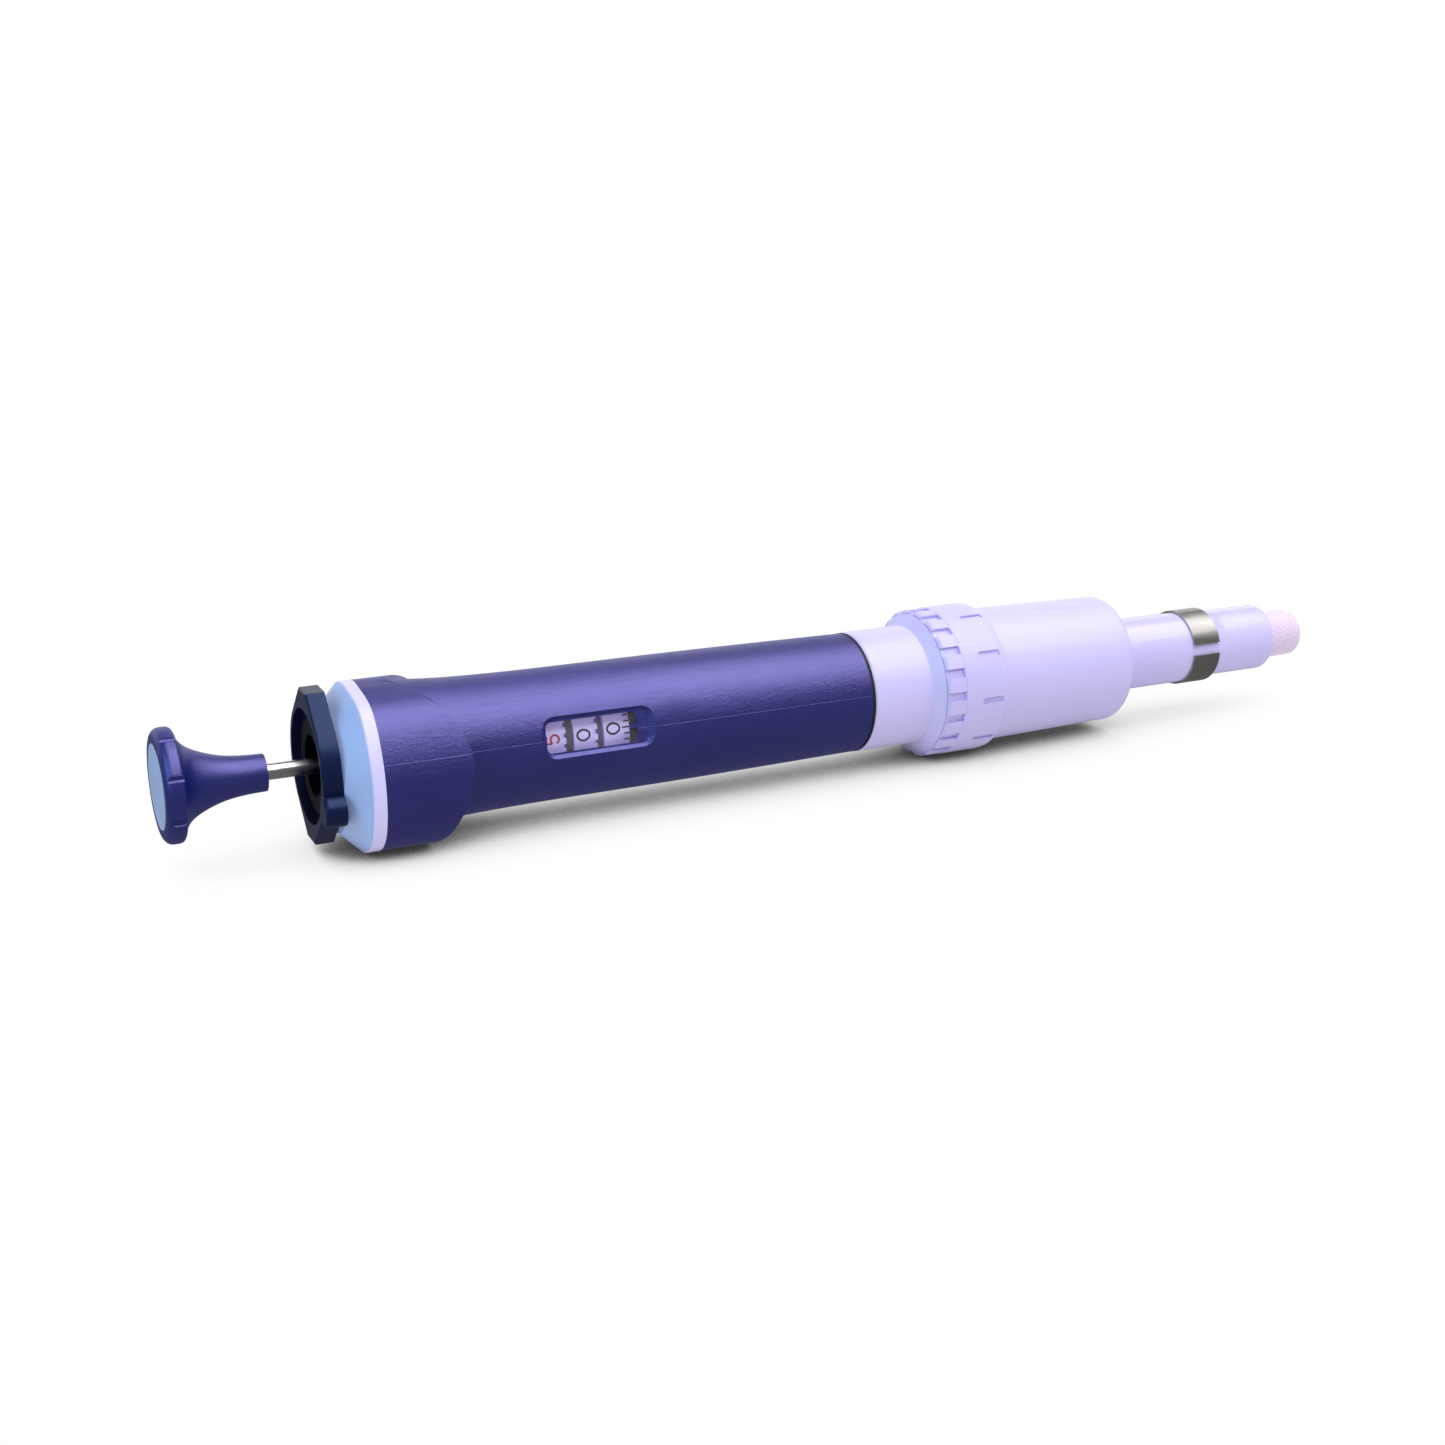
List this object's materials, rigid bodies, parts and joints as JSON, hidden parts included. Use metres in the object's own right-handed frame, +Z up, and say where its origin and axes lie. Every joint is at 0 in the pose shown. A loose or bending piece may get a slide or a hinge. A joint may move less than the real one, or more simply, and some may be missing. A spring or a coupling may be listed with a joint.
{
  "type": "variable volume macro pipette",
  "caption": "Large mechanical pipette with a push button, lock ring, blue handle with number window, castellated nut, pale air cylinder and tip cone.",
  "frame": {"origin": "on the axis, at the front end of the tip cone's seating land", "axes": "+X along the pipette's axis, from the push button towards the tip; +Z up as it lies on a bench, with the counter window towards -Y"},
  "size_m": [0.2553, 0.0326, 0.0319],
  "materials": {
    "body_blue": "dark blue moulded plastic, satin",
    "button_blue": "dark blue moulded plastic of the button, satin",
    "insert_blue": "pale blue moulded plastic, satin",
    "ring_black": "blue-black moulded plastic, satin",
    "bush_black": "black moulded plastic, matt",
    "cap_pale": "pale blue and lavender moulded plastic, satin",
    "lavender": "lavender moulded plastic, satin",
    "steel": "bright stainless steel, bright",
    "spring_steel": "polished spring steel, polished",
    "drum_white": "white printed plastic, printed",
    "drum_red": "white plastic printed in red, printed in red",
    "frame_grey": "grey plastic, satin",
    "clear": "clear plastic, clear",
    "gasket_black": "black rubber, matt",
    "o_ring": "dark rubber, matt",
    "ptfe": "white PTFE, waxy",
    "filter": "porous pinkish-white plastic, porous",
    "brass": "brass, machined"
  },
  "bodies": {
    "handle": {"handle_body": "body_blue", "handle_cap": "cap_pale", "neck_bush": "bush_black", "window_lens": "clear", "counter_frame": "frame_grey", "drum_spacers": "frame_grey", "pinion_axle": "steel", "upper_bearing": "frame_grey", "spindle_nut": "frame_grey", "spring_seat": "frame_grey", "lower_sleeve": "lavender", "end_gasket": "gasket_black", "coupling_nut": "lavender", "cylinder_cone": "lavender", "cylinder_o_ring": "o_ring", "tip_grip_ring": "spring_steel", "filter_plug": "filter", "return_spring": "spring_steel", "blow_out_spring": "spring_steel"},
    "locking_ring": {"lock_ring": "ring_black"},
    "volume_drive": {"drive_bush": "brass", "drum_units": "drum_white"},
    "tens": {"drum_tens": "drum_white"},
    "hundreds": {"drum_hundreds": "drum_red"},
    "low_pinion": {"pinion_low": "frame_grey"},
    "high_pinion": {"pinion_high": "frame_grey"},
    "spindle": {"stop_spindle": "brass"},
    "plunger": {"push_button": "button_blue", "button_insert": "insert_blue", "operating_rod": "steel", "piston_rod": "steel", "piston_head": "lavender", "piston_seal": "ptfe", "piston_o_ring": "o_ring"},
    "second_stop": {"blow_out_washer": "steel"}
  },
  "joints": [
    {"name": "volume_turn", "type": "hinge", "parent": "handle", "child": "volume_drive", "pos_m": [-0.166, 0, 0], "axis": [1, 0, 0], "range_deg": [-16200, 0]},
    {"name": "volume_stop", "type": "slide", "parent": "volume_drive", "child": "spindle", "axis": [1, 0, 0], "range_m": [0, 0.014]},
    {"name": "plunge", "type": "slide", "parent": "volume_drive", "child": "plunger", "axis": [1, 0, 0], "range_m": [0, 0.0185], "stiffness_N_per_m": 250, "springref_m": -0.018, "deforming": ["return_spring", "blow_out_spring"]},
    {"name": "blow_out", "type": "slide", "parent": "handle", "child": "second_stop", "axis": [1, 0, 0], "range_m": [0, 0.003], "deforming": ["blow_out_spring"]},
    {"name": "tens_turn", "type": "hinge", "parent": "handle", "child": "tens", "pos_m": [-0.167, 0, 0], "axis": [1, 0, 0], "range_deg": [-1620, 0]},
    {"name": "hundreds_turn", "type": "hinge", "parent": "handle", "child": "hundreds", "pos_m": [-0.173, 0, 0], "axis": [1, 0, 0], "range_deg": [-162, 0]},
    {"name": "low_pinion_turn", "type": "hinge", "parent": "handle", "child": "low_pinion", "pos_m": [-0.1628, 0.01021, -0.00245], "axis": [1, 0, 0], "range_deg": [0, 4050]},
    {"name": "high_pinion_turn", "type": "hinge", "parent": "handle", "child": "high_pinion", "pos_m": [-0.1689, 0.01021, -0.00245], "axis": [1, 0, 0], "range_deg": [0, 405]},
    {"name": "lock_turn", "type": "hinge", "parent": "handle", "child": "locking_ring", "pos_m": [-0.2145, 0, 0], "axis": [1, 0, 0], "range_deg": [0, 35]}
  ],
  "couplings": [
    {"joint": "volume_stop", "follows": "volume_turn", "m_per_rad": -0.000049338},
    {"joint": "tens_turn", "follows": "volume_turn", "ratio": 0.1},
    {"joint": "hundreds_turn", "follows": "volume_turn", "ratio": 0.01},
    {"joint": "low_pinion_turn", "follows": "volume_turn", "ratio": -0.25},
    {"joint": "high_pinion_turn", "follows": "volume_turn", "ratio": -0.025},
    {"joint": "blow_out", "follows": "plunge", "ratio": 0.16216}
  ]
}
